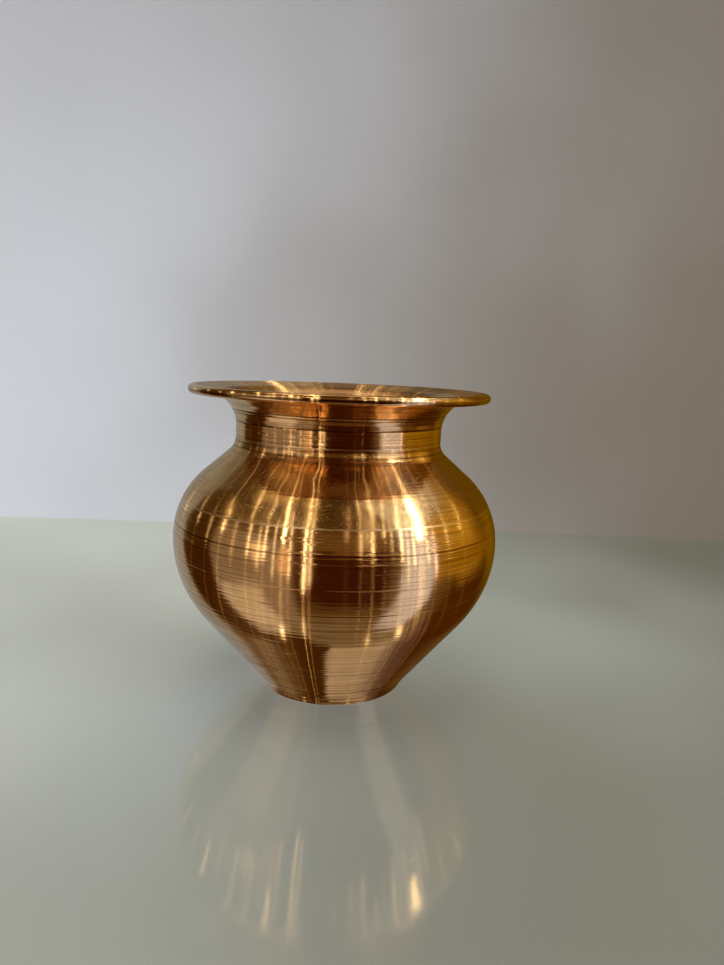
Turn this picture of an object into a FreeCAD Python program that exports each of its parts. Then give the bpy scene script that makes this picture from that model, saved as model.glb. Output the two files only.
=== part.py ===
import FreeCAD, Part
import math
import os

# Kalash pot, spun from thin copper-rich brass sheet and brazed. Millimetres, +Z up.
# The origin is the centre of the foot, where the pot stands. Every piece is a turned
# ring, disc or shell about Z, so each is one closed outline swept once round the axis.

# ---- driving dimensions ----
POT_HEIGHT = 93.0          # foot to the top of the rolled lip
BASE_DIAMETER = 45.4
BELLY_DIAMETER = 100.0
BELLY_HEIGHT = 47.2        # widest line above the foot
NECK_DIAMETER = 63.0
LIP_DIAMETER = 91.4        # over the rolled edge

FOOT_RADIUS = 25.0         # hollow curve of the wall just above the foot
FOOT_TUCK = 2.5            # the wall starts this much steeper than a line to the belly
WALL_FLAT = 26.0           # straight cone between the foot curve and the belly curve
SHOULDER_FLAT = 10.0       # straight cone between the shoulder curve and the neck root
ROOT_RADIUS = 5.5          # hollow curve at the neck's root
NECK_FLAT = 3.5            # upright part of the neck
FLARE_HEIGHT = 12.0        # from the top of the upright neck to the top of the lip
FLARE_RADIUS = 10.25       # hollow curve of the flared mouth

SHEET = 0.8                # sheet thickness of every shell
BASE_SHEET = 1.0           # the base plate is a little heavier
BRAZE_GAP = 0.15           # room that the filler takes in each joint
BELLY_LAP = 3.5            # length of the bowl's tongue inside the shoulder
NECK_LAP = 2.8             # height of the shoulder's upstand inside the neck
JOGGLE_RUN = 1.2           # length over which a lapped edge steps in
SEAM_ANGLE = 27.5          # place of the belly seam, degrees up the shoulder curve
BASE_FILLET = 0.9          # leg of the filler in the corner above the base plate

DISH_DIAMETER = 30.0       # middle of the base plate, pressed up off the floor
DISH_RISE = 1.0

WIRE_DIAMETER = 1.0        # wire inside the rolled edge
WIRE_CLEARANCE = 0.05
HEM_WRAP = 268.0           # how far the sheet rolls round the wire, degrees

# ---- worked out from them ----
BASE_R = BASE_DIAMETER / 2
BELLY_R = BELLY_DIAMETER / 2
NECK_R = NECK_DIAMETER / 2
FOOT_LEAN = math.degrees(math.atan2(BELLY_R - BASE_R, BELLY_HEIGHT)) - FOOT_TUCK
NECK_TOP = POT_HEIGHT - FLARE_HEIGHT
NECK_SEAM = NECK_TOP - NECK_FLAT
TONGUE_IN = SHEET + BRAZE_GAP      # a lapped edge steps in by this much
HEM_IN = WIRE_DIAMETER / 2 + WIRE_CLEARANCE
HEM_OUT = HEM_IN + SHEET


def point(r, z):
    """A point of an outline: r from the axis, z above the foot."""
    return FreeCAD.Vector(r, 0, z)


def polar(centre, radius, degrees):
    """The point at a distance and a direction from centre, 0 outwards and 90 up."""
    a = math.radians(degrees)
    return point(centre.x + radius * math.cos(a), centre.z + radius * math.sin(a))


class Outline:
    """A closed outline in the XZ plane, drawn edge by edge from a first point."""

    def __init__(self, start):
        self.start = start
        self.last = start
        self.edges = []

    def line(self, end):
        """A straight edge to end, left out if the outline is already there."""
        if self.last.distanceToPoint(end) > 1e-7:
            self.edges.append(Part.LineSegment(self.last, end).toShape())
            self.last = end
        return self

    def arc(self, centre, radius, first, last):
        """A straight edge to the arc's first direction, if needed, and then the arc."""
        self.line(polar(centre, radius, first))
        middle = polar(centre, radius, (first + last) / 2)
        end = polar(centre, radius, last)
        self.edges.append(Part.Arc(self.last, middle, end).toShape())
        self.last = end
        return self

    def turned(self):
        """The closed outline, swept once round the Z axis as a solid."""
        self.line(self.start)
        face = Part.Face(Part.Wire(self.edges))
        solid = face.revolve(FreeCAD.Vector(0, 0, 0), FreeCAD.Vector(0, 0, 1), 360)
        if solid.Volume < 0:
            solid.reverse()
        return solid


class RoundCone:
    """A round bulge joined to a hollow by a straight cone, tangent to both.

    The bulge ends upright at bulge_r and bulge_z, the hollow has a known centre and
    radius, and the cone between them a known length. The bulge's radius and the
    cone's lean follow. side is 1 where the hollow is above the bulge, -1 below.
    """

    def __init__(self, bulge_r, bulge_z, hollow, hollow_radius, flat, side):
        across = hollow.x - bulge_r
        up = side * (hollow.z - bulge_z)
        spare = across**2 + up**2 - hollow_radius**2 - flat**2
        self.radius = spare / (2 * (hollow_radius - across))
        self.centre = point(bulge_r - self.radius, bulge_z)
        self.hollow = hollow
        reach = math.atan2(up, self.radius + across)
        self.lean = math.degrees(reach - math.atan2(flat, self.radius + hollow_radius))


def foot_centre():
    """Centre of the hollow curve that starts at the foot's edge."""
    return polar(point(BASE_R, 0), FOOT_RADIUS, -FOOT_LEAN)


WALL = RoundCone(BELLY_R, BELLY_HEIGHT, foot_centre(), FOOT_RADIUS, WALL_FLAT, -1)
ROOT = point(NECK_R + ROOT_RADIUS, NECK_SEAM)
SHOULDER = RoundCone(BELLY_R, BELLY_HEIGHT, ROOT, ROOT_RADIUS, SHOULDER_FLAT, 1)


def turn(length, radius):
    """The angle in degrees that a length takes up on an arc."""
    return math.degrees(length / radius)


SEAM_GAP = SEAM_ANGLE + turn(BRAZE_GAP, SHOULDER.radius)
TONGUE_END = SEAM_ANGLE + turn(BELLY_LAP, SHOULDER.radius)


def foot_angle_at(depth, z):
    """Direction from the foot curve's centre to the skin, or depth below it, at z."""
    return 180 - math.degrees(math.asin((z - WALL.hollow.z) / (FOOT_RADIUS + depth)))


def foot_skin(depth, z):
    """The point of the foot curve at height z, depth below the outer skin."""
    return polar(WALL.hollow, FOOT_RADIUS + depth, foot_angle_at(depth, z))


def base_plate():
    """Flat disc under the bowl, its middle pressed up so that the pot stands on a ring."""
    inner = DISH_DIAMETER / 2
    corner = BASE_SHEET * (math.sqrt(2) - 1)
    outline = Outline(point(0, DISH_RISE))
    outline.line(point(inner - DISH_RISE, DISH_RISE))
    outline.line(point(inner, 0))
    outline.arc(
        WALL.hollow,
        FOOT_RADIUS,
        180 - FOOT_LEAN,
        foot_angle_at(0, BASE_SHEET),
    )
    outline.line(point(inner + corner, BASE_SHEET))
    outline.line(point(inner + corner - DISH_RISE, BASE_SHEET + DISH_RISE))
    outline.line(point(0, BASE_SHEET + DISH_RISE))
    return outline.turned()


def base_braze():
    """Filler under the bowl's lower edge, with a fillet in the corner inside."""
    top = BASE_SHEET + BRAZE_GAP
    outline = Outline(foot_skin(0, BASE_SHEET))
    outline.line(foot_skin(0, top))
    outline.arc(
        WALL.hollow,
        FOOT_RADIUS + SHEET,
        foot_angle_at(SHEET, top),
        foot_angle_at(SHEET, top + BASE_FILLET),
    )
    outline.line(point(foot_skin(SHEET, top).x - BASE_FILLET, BASE_SHEET))
    return outline.turned()


def lower_bowl():
    """Spun bowl: foot curve, cone and belly, with a tongue stepped in at the top."""
    bottom = BASE_SHEET + BRAZE_GAP
    run = turn(JOGGLE_RUN, SHOULDER.radius)
    outline = Outline(foot_skin(0, bottom))
    outline.arc(WALL.hollow, FOOT_RADIUS, foot_angle_at(0, bottom), 180 - WALL.lean)
    outline.arc(WALL.centre, WALL.radius, -WALL.lean, 0)
    outline.arc(SHOULDER.centre, SHOULDER.radius, 0, SEAM_ANGLE)
    outline.arc(SHOULDER.centre, SHOULDER.radius - TONGUE_IN, SEAM_ANGLE, TONGUE_END)
    outline.arc(
        SHOULDER.centre,
        SHOULDER.radius - TONGUE_IN - SHEET,
        TONGUE_END,
        SEAM_ANGLE,
    )
    outline.arc(SHOULDER.centre, SHOULDER.radius - SHEET, SEAM_ANGLE - run, 0)
    outline.arc(WALL.centre, WALL.radius - SHEET, 0, -WALL.lean)
    outline.arc(
        WALL.hollow,
        FOOT_RADIUS + SHEET,
        180 - WALL.lean,
        foot_angle_at(SHEET, bottom),
    )
    return outline.turned()


def belly_braze():
    """Filler in the belly seam: a line at the skin and a sleeve round the tongue."""
    outline = Outline(polar(SHOULDER.centre, SHOULDER.radius, SEAM_ANGLE))
    outline.arc(SHOULDER.centre, SHOULDER.radius, SEAM_ANGLE, SEAM_GAP)
    outline.arc(SHOULDER.centre, SHOULDER.radius - SHEET, SEAM_GAP, TONGUE_END)
    outline.arc(SHOULDER.centre, SHOULDER.radius - TONGUE_IN, TONGUE_END, SEAM_ANGLE)
    return outline.turned()


def shoulder_shell():
    """Spun dome from the belly seam to the neck's root, with an upstand stepped in."""
    upstand = NECK_R - TONGUE_IN
    step_down = math.degrees(math.asin(JOGGLE_RUN / (ROOT_RADIUS + SHEET)))
    outline = Outline(polar(SHOULDER.centre, SHOULDER.radius, SEAM_GAP))
    outline.arc(SHOULDER.centre, SHOULDER.radius, SEAM_GAP, SHOULDER.lean)
    outline.arc(ROOT, ROOT_RADIUS, 180 + SHOULDER.lean, 180)
    outline.line(point(upstand, NECK_SEAM))
    outline.line(point(upstand, NECK_SEAM + NECK_LAP))
    outline.line(point(upstand - SHEET, NECK_SEAM + NECK_LAP))
    outline.line(point(upstand - SHEET, NECK_SEAM))
    outline.arc(ROOT, ROOT_RADIUS + SHEET, 180 + step_down, 180 + SHOULDER.lean)
    outline.arc(SHOULDER.centre, SHOULDER.radius - SHEET, SHOULDER.lean, SEAM_GAP)
    return outline.turned()


def neck_braze():
    """Filler in the neck's seam: a line at the skin and a sleeve round the upstand."""
    sleeve = NECK_R - SHEET
    outline = Outline(point(NECK_R, NECK_SEAM))
    outline.line(point(NECK_R, NECK_SEAM + BRAZE_GAP))
    outline.line(point(sleeve, NECK_SEAM + BRAZE_GAP))
    outline.line(point(sleeve, NECK_SEAM + NECK_LAP))
    outline.line(point(NECK_R - TONGUE_IN, NECK_SEAM + NECK_LAP))
    outline.line(point(NECK_R - TONGUE_IN, NECK_SEAM))
    return outline.turned()


def rim_centre():
    """Centre of the wire's section, and of the sheet rolled round it."""
    return point(LIP_DIAMETER / 2 - HEM_OUT, POT_HEIGHT - HEM_OUT)


def neck_collar():
    """Neck and flared mouth, its edge rolled out and down round the wire."""
    flare = point(NECK_R + FLARE_RADIUS, NECK_TOP)
    rim = rim_centre()
    across = rim.x - flare.x
    up = rim.z - flare.z
    drop = FLARE_RADIUS - HEM_IN
    flat = math.sqrt(across**2 + up**2 - drop**2)
    lean = math.degrees(math.atan2(across, up) + math.atan2(drop, flat))
    tangent = 180 - lean
    outline = Outline(point(NECK_R, NECK_SEAM + BRAZE_GAP))
    outline.arc(flare, FLARE_RADIUS, 180, tangent)
    outline.arc(rim, HEM_IN, tangent, tangent - HEM_WRAP)
    outline.arc(rim, HEM_OUT, tangent - HEM_WRAP, tangent)
    outline.arc(flare, FLARE_RADIUS + SHEET, tangent, 180)
    outline.line(point(NECK_R - SHEET, NECK_SEAM + BRAZE_GAP))
    return outline.turned()


def rim_wire():
    """Round wire that stiffens the lip, closed inside the rolled edge."""
    up = FreeCAD.Vector(0, 0, 1)
    rim = rim_centre()
    return Part.makeTorus(rim.x, WIRE_DIAMETER / 2, FreeCAD.Vector(0, 0, rim.z), up)


PIECES = {
    "base_plate": base_plate,
    "base_braze": base_braze,
    "lower_bowl": lower_bowl,
    "belly_braze": belly_braze,
    "shoulder_shell": shoulder_shell,
    "neck_braze": neck_braze,
    "neck_collar": neck_collar,
    "rim_wire": rim_wire,
}

os.makedirs("parts", exist_ok=True)
for name, make in PIECES.items():
    piece = make()
    box = piece.optimalBoundingBox()
    print(
        f"{name}: valid {piece.isValid()}, {len(piece.Solids)} solid,"
        f" {piece.Volume:.1f} mm3, r {box.XMax:.2f}, z {box.ZMin:.2f} to {box.ZMax:.2f}"
    )
    piece.exportStep(f"parts/{name}.step")
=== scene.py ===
import logging
import math
from dataclasses import dataclass, field
from typing import Any, Callable

import bpy
import numpy as np
from mathutils import Euler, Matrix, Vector


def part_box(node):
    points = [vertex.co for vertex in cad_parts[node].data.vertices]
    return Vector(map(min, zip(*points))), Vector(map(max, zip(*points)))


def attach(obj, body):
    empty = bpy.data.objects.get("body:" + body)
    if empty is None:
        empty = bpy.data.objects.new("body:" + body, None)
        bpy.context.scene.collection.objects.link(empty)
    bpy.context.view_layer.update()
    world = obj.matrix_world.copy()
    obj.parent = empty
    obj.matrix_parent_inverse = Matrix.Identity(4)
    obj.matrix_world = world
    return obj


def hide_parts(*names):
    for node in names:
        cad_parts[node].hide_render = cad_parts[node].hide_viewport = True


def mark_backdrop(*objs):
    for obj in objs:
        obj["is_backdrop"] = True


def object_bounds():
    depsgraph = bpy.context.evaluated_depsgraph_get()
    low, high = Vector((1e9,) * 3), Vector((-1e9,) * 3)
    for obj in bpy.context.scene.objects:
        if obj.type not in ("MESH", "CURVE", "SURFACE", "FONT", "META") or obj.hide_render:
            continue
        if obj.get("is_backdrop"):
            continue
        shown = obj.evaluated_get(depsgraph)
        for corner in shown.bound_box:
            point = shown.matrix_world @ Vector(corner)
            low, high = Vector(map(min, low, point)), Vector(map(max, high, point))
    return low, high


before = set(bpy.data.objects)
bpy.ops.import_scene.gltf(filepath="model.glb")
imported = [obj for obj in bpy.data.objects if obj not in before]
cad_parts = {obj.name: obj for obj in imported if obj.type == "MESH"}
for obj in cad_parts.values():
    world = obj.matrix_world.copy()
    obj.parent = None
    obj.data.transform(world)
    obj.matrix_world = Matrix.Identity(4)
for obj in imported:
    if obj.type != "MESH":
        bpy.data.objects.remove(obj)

# Looks of a small spun and brazed kalash pot. Metres, +Z up, turned about the Z axis.
# Each shell is lathed again as a fine mesh on the lines of its CAD solid, with the tool's
# rings, the incised lines and the hand-made unevenness in the mesh itself.

LOG = logging.getLogger("kalash")
MM = 0.001
SAME_POINT = 1e-8
Colour = tuple[float, float, float]
Relief = Callable[[np.ndarray, np.ndarray], np.ndarray]


# ---------------------------------------------------------------- outline of the pot


def polar(centre: tuple[float, float], radius: float, degrees: float) -> tuple[float, float]:
    """The point (r, z) at a distance and a direction from centre, 0 outwards and 90 up."""
    a = math.radians(degrees)
    return centre[0] + radius * math.cos(a), centre[1] + radius * math.sin(a)


@dataclass
class RoundCone:
    """A round bulge joined to a hollow by a straight cone, tangent to both.

    The bulge is upright at its widest line. Its radius and the cone's lean follow from
    the hollow and the cone's length.
    """

    bulge_r: float
    bulge_z: float
    hollow: tuple[float, float]
    hollow_radius: float
    flat: float
    side: int

    def __post_init__(self) -> None:
        """Work out the bulge's radius and centre, and the cone's lean in degrees."""
        across = self.hollow[0] - self.bulge_r
        up = self.side * (self.hollow[1] - self.bulge_z)
        spare = across**2 + up**2 - self.hollow_radius**2 - self.flat**2
        self.radius = spare / (2 * (self.hollow_radius - across))
        self.centre = (self.bulge_r - self.radius, self.bulge_z)
        reach = math.atan2(up, self.radius + across)
        slant = math.atan2(self.flat, self.radius + self.hollow_radius)
        self.lean = math.degrees(reach - slant)


@dataclass
class PotShape:
    """The pot's outline: overall sizes from the CAD frame, and the radii of its curves."""

    belly_height: float = 47.2 * MM
    foot_r: float = 22.7 * MM
    foot_radius: float = 25.0 * MM
    foot_tuck: float = 2.5
    wall_flat: float = 26.0 * MM
    shoulder_flat: float = 10.0 * MM
    root_radius: float = 5.5 * MM
    neck_flat: float = 3.5 * MM
    flare_radius: float = 10.25 * MM
    sheet: float = 0.8 * MM
    base_sheet: float = 1.0 * MM
    gap: float = 0.15 * MM
    belly_lap: float = 3.5 * MM
    joggle_run: float = 1.2 * MM
    seam_angle: float = 27.5
    hem_in: float = 0.55 * MM
    hem_wrap: float = 268.0

    def __post_init__(self) -> None:
        """Take the overall sizes from the frame, and place the curves between them."""
        low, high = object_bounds()
        self.height = high.z
        self.belly_r = (high.x - low.x) / 2
        self.lip_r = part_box("neck_collar")[1].x
        seam_low, seam_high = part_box("neck_braze")
        self.neck_r = seam_high.x
        self.neck_seam = seam_low.z
        self.neck_lap_top = seam_high.z
        lean = math.degrees(math.atan2(self.belly_r - self.foot_r, self.belly_height))
        self.foot_lean = lean - self.foot_tuck
        foot = polar((self.foot_r, 0.0), self.foot_radius, -self.foot_lean)
        self.wall = RoundCone(
            self.belly_r, self.belly_height, foot, self.foot_radius, self.wall_flat, -1
        )
        self.root = (self.neck_r + self.root_radius, self.neck_seam)
        self.shoulder = RoundCone(
            self.belly_r,
            self.belly_height,
            self.root,
            self.root_radius,
            self.shoulder_flat,
            1,
        )
        self.hem_out = self.hem_in + self.sheet
        self.rim = (self.lip_r - self.hem_out, self.height - self.hem_out)
        self.tongue_in = self.sheet + self.gap

    def foot_angle_at(self, depth: float, z: float) -> float:
        """Direction from the foot curve's centre to the skin, or depth below it, at z."""
        rise = (z - self.wall.hollow[1]) / (self.foot_radius + depth)
        return 180 - math.degrees(math.asin(rise))

    def foot_skin(self, depth: float, z: float) -> tuple[float, float]:
        """The point of the foot curve at height z, depth below the outer skin."""
        angle = self.foot_angle_at(depth, z)
        return polar(self.wall.hollow, self.foot_radius + depth, angle)

    def on_shoulder(self, length: float) -> float:
        """The angle in degrees that a length takes up on the shoulder's curve."""
        return math.degrees(length / self.shoulder.radius)


class Outline:
    """A closed outline in the (r, z) plane, kept as points with the run along them."""

    def __init__(self, start: tuple[float, float]) -> None:
        """Start the outline at a point."""
        self.points: list[tuple[float, float]] = [start]
        self.shown: list[bool] = [True]

    def line(
        self, end: tuple[float, float], step: float = 1.5 * MM, shown: bool = False
    ) -> "Outline":
        """Add a straight run.

        Args:
            end: Where it goes to.
            step: Longest distance between points.
            shown: True for the outer skin.

        Returns:
            The outline itself.
        """
        r0, z0 = self.points[-1]
        length = math.hypot(end[0] - r0, end[1] - z0)
        if length < SAME_POINT:
            return self
        count = max(1, math.ceil(length / step))
        for i in range(1, count + 1):
            t = i / count
            self.points.append((r0 + (end[0] - r0) * t, z0 + (end[1] - z0) * t))
            self.shown.append(shown)
        return self

    def arc(
        self,
        centre: tuple[float, float],
        radius: float,
        first: float,
        last: float,
        step: float = 1.5 * MM,
        shown: bool = False,
    ) -> "Outline":
        """Add a straight run to the arc's first direction, if needed, and then the arc.

        Args:
            centre: The arc's centre.
            radius: Its radius.
            first: Direction to its first point, in degrees.
            last: Direction to its last point, in degrees.
            step: Longest distance between points.
            shown: True for the outer skin.

        Returns:
            The outline itself.
        """
        self.line(polar(centre, radius, first), step, shown)
        length = abs(math.radians(last - first)) * radius
        count = max(2, math.ceil(length / step))
        for i in range(1, count + 1):
            self.points.append(polar(centre, radius, first + (last - first) * i / count))
            self.shown.append(shown)
        return self


class Lathe:
    """Turns an outline into a mesh, with relief along the outward normal."""

    columns = 224
    sharp = 32

    def __init__(self, outline: Outline, closed: bool = True) -> None:
        """Keep the outline's points as arrays, anticlockwise, with normals and run."""
        points = np.array(outline.points)
        shown = np.array(outline.shown)
        if closed and np.allclose(points[0], points[-1], atol=SAME_POINT):
            points, shown = points[:-1], shown[:-1]
        r, z = points[:, 0], points[:, 1]
        area = np.sum(r * np.roll(z, -1) - np.roll(r, -1) * z)
        if area < 0:
            points, shown = points[::-1], shown[::-1]
        self.closed = closed
        self.points = points
        self.shown = shown
        self.run = np.concatenate([[0], np.cumsum(np.hypot(*np.diff(points, axis=0).T))])
        along = self._along()
        self.normals = np.stack([along[:, 1], -along[:, 0]], axis=1)

    def _along(self) -> np.ndarray:
        """Unit direction of the outline at each point."""
        if self.closed:
            step = np.roll(self.points, -1, axis=0) - np.roll(self.points, 1, axis=0)
        else:
            step = np.gradient(self.points, axis=0)
        return step / np.maximum(np.linalg.norm(step, axis=1, keepdims=True), 1e-12)

    def surface(self, relief: Relief | None) -> np.ndarray:
        """Positions of every vertex, rows along the outline and columns round the axis.

        Args:
            relief: Height in metres above the outline for a place (r, z, run) and a
                swing round the axis, or None.

        Returns:
            An array of rows x columns x 3.
        """
        swing = np.arange(self.columns) * 2 * math.pi / self.columns
        lift = np.zeros((len(self.points), self.columns))
        if relief is not None:
            rows = self.shown
            place = np.column_stack([self.points, self.run])[rows]
            lift[rows] = relief(place[:, :, None], swing[None, :])
        r = self.points[:, :1] + self.normals[:, :1] * lift
        z = self.points[:, 1:] + self.normals[:, 1:] * lift
        return np.stack([r * np.sin(swing), -r * np.cos(swing), z], axis=2)

    def piece(
        self,
        name: str,
        materials: list[bpy.types.Material],
        relief: Relief | None = None,
        positions: np.ndarray | None = None,
    ) -> bpy.types.Object:
        """Build the mesh object.

        Args:
            name: The piece's name.
            materials: The skin's material, then the inside's if there is one.
            relief: Height above the outline, or None.
            positions: Vertex positions in place of the surface's own, or None.

        Returns:
            The new object, linked to the scene.
        """
        grid = self.surface(relief) if positions is None else positions
        rows, cols = grid.shape[:2]
        verts = grid.reshape(-1, 3)
        row = np.arange(rows if self.closed else rows - 1)
        following = (row + 1) % rows
        col = np.arange(cols)
        beside = (col + 1) % cols
        quads = np.stack(
            [
                (row[:, None] * cols + col).ravel(),
                (row[:, None] * cols + beside).ravel(),
                (following[:, None] * cols + beside).ravel(),
                (following[:, None] * cols + col).ravel(),
            ],
            axis=1,
        )
        faces = [tuple(q) for q in quads.tolist()]
        shown = np.repeat(self.shown[row] | self.shown[following], cols)
        if not self.closed:
            verts, faces, shown = self._with_poles(verts, faces, shown, rows, cols)
        mesh = bpy.data.meshes.new(name)
        mesh.from_pydata(verts.tolist(), [], faces)
        for material in materials:
            mesh.materials.append(material)
        if len(materials) > 1:
            mesh.polygons.foreach_set("material_index", np.where(shown, 0, 1).astype(np.int32))
        run = np.repeat(self.run / MM, cols)
        run = np.concatenate([run, np.full(len(verts) - len(run), self.run[0] / MM)])
        kept = mesh.attributes.new("run", "FLOAT", "POINT")
        kept.data.foreach_set("value", run.astype(np.float32))
        mesh.shade_smooth()
        mesh.set_sharp_from_angle(angle=math.radians(self.sharp))
        mesh.validate()
        mesh.update()
        made = bpy.data.objects.new(name, mesh)
        bpy.context.scene.collection.objects.link(made)
        return made

    def _with_poles(
        self,
        verts: np.ndarray,
        faces: list[tuple[int, ...]],
        shown: np.ndarray,
        rows: int,
        cols: int,
    ) -> tuple[np.ndarray, list[tuple[int, ...]], np.ndarray]:
        """Close an open outline's two ends with a fan to the axis."""
        first, last = len(verts), len(verts) + 1
        ends = [(0.0, 0.0, float(self.points[0, 1])), (0.0, 0.0, float(self.points[-1, 1]))]
        top = (rows - 1) * cols
        fans = [(first, (j + 1) % cols, j) for j in range(cols)]
        fans += [(last, top + j, top + (j + 1) % cols) for j in range(cols)]
        extra = [bool(self.shown[0])] * cols + [bool(self.shown[-1])] * cols
        return np.vstack([verts, ends]), faces + fans, np.concatenate([shown, extra])


# ---------------------------------------------------------------- marks in the metal


@dataclass(frozen=True)
class ToolRings:
    """Rings left by the turning tool: many waves of slightly different length."""

    seed: int
    shortest: float = 0.55 * MM
    longest: float = 1.6 * MM
    slope: float = 0.9
    waves: int = 26

    def heights(self, run: np.ndarray) -> np.ndarray:
        """Height of the rings at each place along the outline.

        Args:
            run: Length along the outline, in metres.

        Returns:
            Heights in metres, with the stated rms slope in degrees.
        """
        dice = np.random.default_rng(self.seed)
        length = np.exp(dice.uniform(math.log(self.shortest), math.log(self.longest), self.waves))
        start = dice.uniform(0, 2 * math.pi, self.waves)
        steep = math.radians(self.slope) * math.sqrt(2 / self.waves)
        phase = 2 * math.pi * run[..., None] / length + start
        return np.sum(steep * length / (2 * math.pi) * np.cos(phase), axis=-1)


@dataclass(frozen=True)
class Thread:
    """The tool's feed: grooves a little over a millimetre apart, some deeper than others."""

    pitch: float = 1.22
    wander: float = 1.7
    wander_run: float = 3.7
    drift: float = 2.3
    drift_run: float = 9.1

    def heights(self, run: np.ndarray, depth: float) -> np.ndarray:
        """Height of the grooves, all of them below the skin.

        Args:
            run: Length along the outline, in metres.
            depth: Depth of the deepest groove, in metres.

        Returns:
            Heights in metres.
        """
        along = run / MM
        turn = 2 * math.pi * along / self.pitch
        turn = turn + self.wander * np.sin(along / self.wander_run * 2 * math.pi)
        turn = turn + self.drift * np.sin(along / self.drift_run * 2 * math.pi)
        return -depth * np.clip((np.sin(turn) - 0.35) / 0.65, 0, 1) ** 2

    def marks(self, board: "Board") -> "Field":
        """The same grooves in a material, 1 at the bottom of each and 0 between them."""
        along = board.add("ShaderNodeAttribute", {"attribute_name": "run"}, {}, "Fac")
        slow = board.sine(along * (2 * math.pi / self.wander_run)) * self.wander
        slower = board.sine(along * (2 * math.pi / self.drift_run)) * self.drift
        return board.sine(along * (2 * math.pi / self.pitch) + slow + slower).smooth(0.35, 1.0)


@dataclass(frozen=True)
class HandWork:
    """Slow unevenness from hammering and hand buffing, alike along and round the pot."""

    seed: int
    size: float
    slope: float
    waves: int = 18

    def heights(self, run: np.ndarray, swing: np.ndarray, radius: float) -> np.ndarray:
        """Height of the unevenness.

        Args:
            run: Length along the outline, in metres.
            swing: Angle round the axis, in radians.
            radius: The usual radius there, which sets how many swells go round.

        Returns:
            Heights in metres, with the stated rms slope in degrees.
        """
        dice = np.random.default_rng(self.seed)
        total = np.zeros(np.broadcast(run, swing).shape)
        for _ in range(self.waves):
            heading = dice.uniform(0, 2 * math.pi)
            length = self.size * dice.uniform(0.7, 1.6)
            number = 2 * math.pi / length
            turns = round(number * math.cos(heading) * radius)
            phase = number * math.sin(heading) * run + turns * swing + dice.uniform(0, 2 * math.pi)
            total += math.radians(self.slope) / number * math.sqrt(2 / self.waves) * np.cos(phase)
        return total


# ---------------------------------------------------------------- shader arithmetic


class Field:
    """A socket's value, colour or vector; arithmetic on it adds the nodes."""

    def __init__(self, board: "Board", socket: bpy.types.NodeSocket) -> None:
        """Wrap a socket of a board's node tree."""
        self.board = board
        self.socket = socket

    def _math(self, operation: str, *values: Any) -> "Field":
        """A Math node on values, or a Vector Math node where this is a vector."""
        inputs = dict(enumerate(values))
        if self.socket.type == "VECTOR":
            plain = {i: (v, v, v) if isinstance(v, (int, float)) else v for i, v in inputs.items()}
            return self.board.add("ShaderNodeVectorMath", {"operation": operation}, plain)
        return self.board.add("ShaderNodeMath", {"operation": operation}, inputs)

    def __add__(self, other: Any) -> "Field":
        """self + other."""
        return self._math("ADD", self, other)

    __radd__ = __add__

    def __mul__(self, other: Any) -> "Field":
        """self * other."""
        return self._math("MULTIPLY", self, other)

    __rmul__ = __mul__

    def __sub__(self, other: Any) -> "Field":
        """self - other."""
        return self._math("SUBTRACT", self, other)

    def __rsub__(self, other: Any) -> "Field":
        """other - self."""
        return self._math("SUBTRACT", other, self)

    def smooth(self, low: float, high: float) -> "Field":
        """0 below low and 1 above high, with a smooth step between, or the other way."""
        return self.board.add(
            "ShaderNodeMapRange",
            {"interpolation_type": "SMOOTHSTEP", "clamp": True},
            {"Value": self, "From Min": low, "From Max": high, "To Min": 0.0, "To Max": 1.0},
        )

    def part(self, name: str) -> "Field":
        """One of a vector's parts: X, Y or Z."""
        return self.board.add("ShaderNodeSeparateXYZ", {}, {"Vector": self}, name)

    def length(self) -> "Field":
        """A vector's length."""
        return self.board.add("ShaderNodeVectorMath", {"operation": "LENGTH"}, {0: self}, "Value")

    def along(self, way: tuple[float, float, float]) -> "Field":
        """How far a vector reaches in a direction."""
        dot = {"operation": "DOT_PRODUCT"}
        return self.board.add("ShaderNodeVectorMath", dot, {0: self, 1: way}, "Value")

    def level(self) -> "Field":
        """A vector laid level."""
        flat = {"operation": "MULTIPLY"}
        return self.board.add("ShaderNodeVectorMath", flat, {0: self, 1: (1.0, 1.0, 0.0)})


class Board:
    """A node tree, and the one way in which nodes are added to it."""

    def __init__(self, tree: bpy.types.NodeTree) -> None:
        """Clear the tree, ready for new nodes."""
        self.tree = tree
        tree.nodes.clear()

    def add(
        self,
        kind: str,
        settings: dict[str, Any] | None = None,
        inputs: dict[Any, Any] | None = None,
        output: str | int = 0,
    ) -> Field:
        """Add a node.

        Args:
            kind: The node's type.
            settings: Its settings, such as a Math node's operation, set first.
            inputs: Values or Fields for its sockets, by name or number.
            output: The output to return.

        Returns:
            The output as a Field.
        """
        node = self.tree.nodes.new(kind)
        for name, value in (settings or {}).items():
            setattr(node, name, value)
        for name, value in (inputs or {}).items():
            socket = node.inputs[name]
            if isinstance(value, Field):
                self.tree.links.new(value.socket, socket)
            else:
                socket.default_value = value
        return Field(self, node.outputs[output]) if node.outputs else Field(self, node.inputs[0])

    def blend(self, share: Any, first: Any, second: Any) -> Field:
        """first where share is 0 and second where it is 1, as colours."""
        first, second = [(*c, 1.0) if isinstance(c, tuple) else c for c in (first, second)]
        inputs = {0: share, 6: first, 7: second}
        return self.add("ShaderNodeMix", {"data_type": "RGBA"}, inputs, 2)

    def sine(self, angle: Field) -> Field:
        """The sine of an angle in radians."""
        return self.add("ShaderNodeMath", {"operation": "SINE"}, {0: angle})

    def noise(self, where: Field, scale: float, detail: float = 2.0, rough: float = 0.5) -> Field:
        """Soft noise from 0 to 1 at a place, with so many features to the metre."""
        inputs = {"Vector": where, "Scale": scale, "Detail": detail, "Roughness": rough}
        return self.add("ShaderNodeTexNoise", {}, inputs)


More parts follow.
